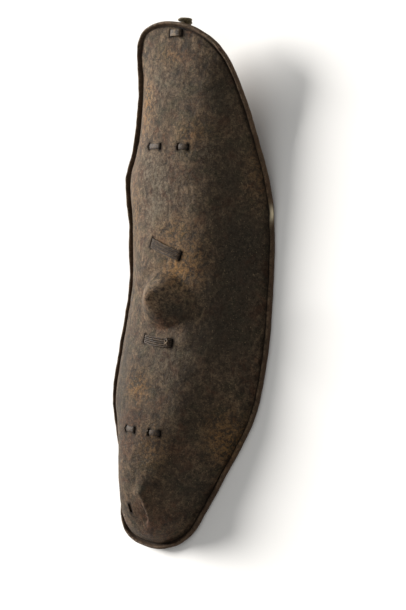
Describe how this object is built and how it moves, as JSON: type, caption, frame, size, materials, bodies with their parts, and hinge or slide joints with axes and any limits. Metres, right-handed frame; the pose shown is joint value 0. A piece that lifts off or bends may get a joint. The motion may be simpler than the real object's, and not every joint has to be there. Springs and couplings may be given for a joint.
{
  "type": "hide shield",
  "caption": "Long oval shield moulded from one thick hide, with a hollow boss, an outward rolled rim, and a wooden stave lashed behind its crown line; it lies on its rim.",
  "frame": {"origin": "on the floor, under the middle of the whole shield as it lies front up", "axes": "+X to the right as seen from the front with the top end up, +Y to the top end, +Z out of the front, through the boss"},
  "size_m": [0.4046, 1.062, 0.1516],
  "materials": {
    "hide": "old dark brown hide, mottled, with a dull worn shine, fine grain, scratches and ochre patches",
    "stave_wood": "bare peeled branch, greenish brown and handled smooth",
    "thong": "dried raw thong, dark brown, lighter where it is twisted"
  },
  "bodies": {
    "root": {"hide_upper": "hide", "hide_middle": "hide", "hide_lower": "hide", "grip_stave": "stave_wood", "top_lashing": "thong", "upper_lashing": "thong", "upper_grip_band": "thong", "lower_grip_band": "thong", "lower_lashing": "thong"}
  },
  "joints": []
}
